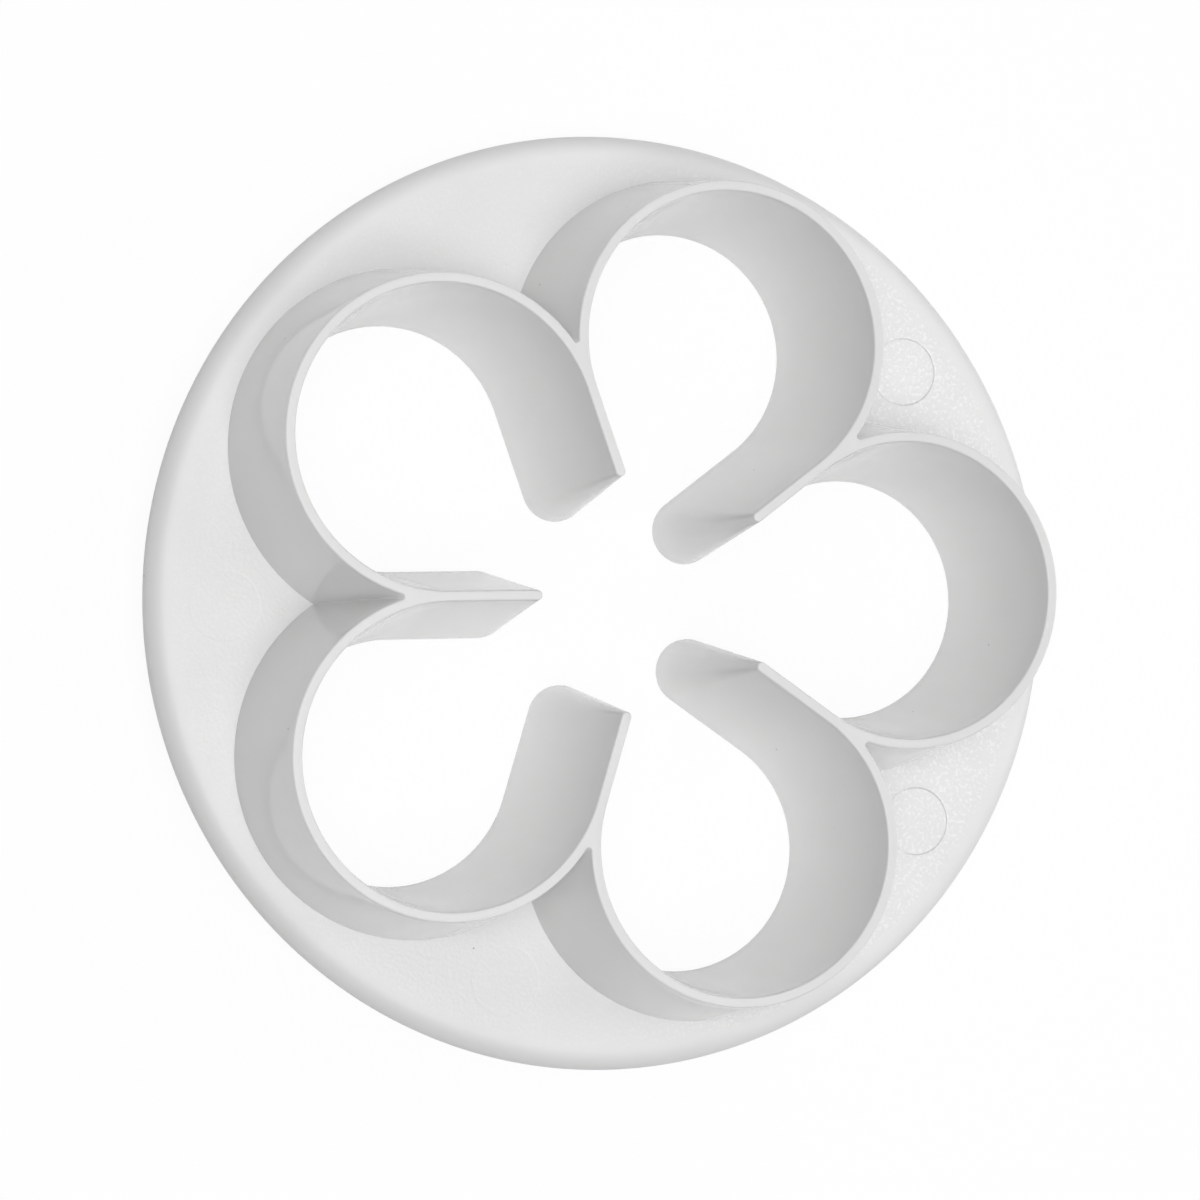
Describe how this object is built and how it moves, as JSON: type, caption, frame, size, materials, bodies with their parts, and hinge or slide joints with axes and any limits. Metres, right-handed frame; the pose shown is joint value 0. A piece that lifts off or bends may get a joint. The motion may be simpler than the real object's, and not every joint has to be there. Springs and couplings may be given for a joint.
{
  "type": "blossom cutter",
  "caption": "Round flanged pastry cutter with a thin flower-shaped cutting wall, petals open to the middle, moulded in white plastic.",
  "frame": {"origin": "centre of the back, the face the cutter rests on", "axes": "+Z along the cutter's axis from the back to the cutting edge, +X through the middle of petal 1"},
  "size_m": [0.0686, 0.0686, 0.017],
  "materials": {
    "white_plastic": "satin white moulded plastic, fine spark-eroded texture on the flange's face"
  },
  "bodies": {
    "root": {"flange_rim": "white_plastic", "rim_skirt": "white_plastic", "flange_web_1": "white_plastic", "flange_web_2": "white_plastic", "flange_web_3": "white_plastic", "flange_web_4": "white_plastic", "flange_web_5": "white_plastic", "petal_wall_1": "white_plastic", "petal_wall_2": "white_plastic", "petal_wall_3": "white_plastic", "petal_wall_4": "white_plastic", "petal_wall_5": "white_plastic", "divider_1": "white_plastic", "divider_2": "white_plastic", "divider_3": "white_plastic", "divider_4": "white_plastic", "divider_5": "white_plastic"}
  },
  "joints": []
}
